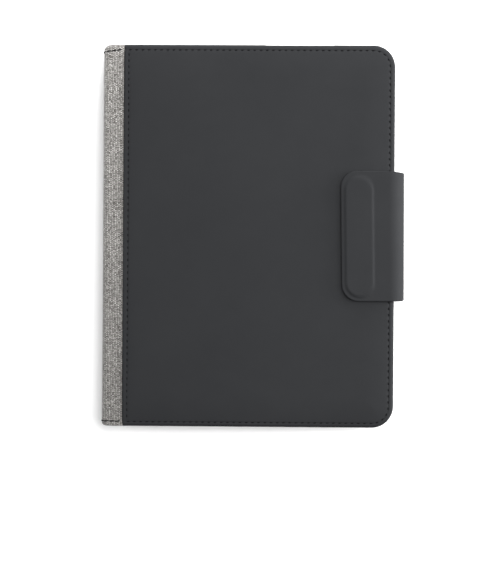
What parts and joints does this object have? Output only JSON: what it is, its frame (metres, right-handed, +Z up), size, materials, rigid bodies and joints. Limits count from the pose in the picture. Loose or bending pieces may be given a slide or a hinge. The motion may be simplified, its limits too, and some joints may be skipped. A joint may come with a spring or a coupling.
{
  "type": "wireless charging notebook",
  "caption": "Closed notebook case with a woven spine, a phone charger built into the front cover, a magnetic closing flap and a paper pad in a sleeve.",
  "frame": {"origin": "middle of the footprint of the closed notebook, on the underside of the back cover", "axes": "+X from the spine to the fore-edge with the flap, +Y to the head of the pages, +Z up through the front cover"},
  "size_m": [0.1818, 0.23, 0.0263],
  "materials": {
    "leatherette": "soft-touch matt charcoal leatherette, very fine grain",
    "lining": "matt dark grey leatherette, fine grain",
    "melange_fabric": "grey melange plain weave with pale and brown-grey yarns",
    "foam": "closed-cell foam sheet, dark grey",
    "greyboard": "bookbinder's greyboard",
    "elastic": "black woven elastic and binding cloth",
    "card": "dark grey card, smooth",
    "paper": "uncoated cream writing paper",
    "steel": "plated steel",
    "copper": "enamelled copper wire",
    "ferrite": "dark grey ferrite sheet",
    "cell_foil": "aluminium laminate pouch",
    "circuit": "green solder mask on glass-fibre board",
    "black_plastic": "moulded black plastic, matt",
    "light_plastic": "clear moulded plastic"
  },
  "bodies": {
    "back_cover": {"back_skin": "leatherette", "back_padding": "foam", "back_board": "greyboard", "back_lining": "lining", "back_fabric": "melange_fabric", "pad_sleeve": "lining", "pen_loop": "elastic", "flap_root_skin": "leatherette", "flap_root_lining": "lining"},
    "spine": {"spine_fabric": "melange_fabric", "spine_board": "greyboard", "spine_lining": "lining"},
    "front_cover": {"front_skin": "leatherette", "front_padding": "foam", "front_board": "greyboard", "front_spacer": "foam", "front_lining": "lining", "front_fabric": "melange_fabric", "card_pocket_1": "lining", "card_pocket_2": "lining", "card_pocket_3": "lining", "catch_plate": "steel", "charging_coil": "copper", "ferrite_sheet": "ferrite", "battery_cell": "cell_foil", "circuit_board": "circuit", "controller_1": "black_plastic", "controller_2": "black_plastic", "socket_shell": "steel", "socket_tongue": "black_plastic", "port_bezel": "black_plastic", "light_pipes": "light_plastic", "button_switch": "black_plastic"},
    "power_button": {"power_button": "black_plastic"},
    "flap_wall": {"flap_wall_skin": "leatherette", "flap_wall_lining": "lining"},
    "flap_tip": {"flap_tip_skin": "leatherette", "flap_tip_lining": "lining", "flap_insert": "black_plastic", "flap_magnet_1": "steel", "flap_magnet_2": "steel"},
    "pad": {"pad_back_card": "card", "page_section_1": "paper", "page_section_2": "paper", "page_section_3": "paper", "page_section_4": "paper", "page_section_5": "paper", "pad_front_card": "card", "pad_binding": "elastic"}
  },
  "joints": [
    {"name": "spine_fold", "type": "hinge", "parent": "back_cover", "child": "spine", "pos_m": [-0.08997, 0, 0.00158], "axis": [0, -1, 0], "range_deg": [0, 90]},
    {"name": "cover_fold", "type": "hinge", "parent": "spine", "child": "front_cover", "pos_m": [-0.08997, 0, 0.02172], "axis": [0, -1, 0], "range_deg": [0, 90]},
    {"name": "flap_back_fold", "type": "hinge", "parent": "back_cover", "child": "flap_wall", "pos_m": [0.08903, 0, 0.00182], "axis": [0, 1, 0], "range_deg": [0, 90]},
    {"name": "flap_top_fold", "type": "hinge", "parent": "flap_wall", "child": "flap_tip", "pos_m": [0.08813, 0, 0.02288], "axis": [0, 1, 0], "range_deg": [0, 90]},
    {"name": "pad_slide", "type": "slide", "parent": "back_cover", "child": "pad", "axis": [0, 1, 0], "range_m": [0, 0.125]},
    {"name": "button_press", "type": "slide", "parent": "front_cover", "child": "power_button", "axis": [0, -1, 0], "range_m": [0, 0.0004], "stiffness_N_per_m": 1500}
  ],
  "couplings": [
    {"joint": "flap_top_fold", "follows": "flap_back_fold", "ratio": 1}
  ]
}
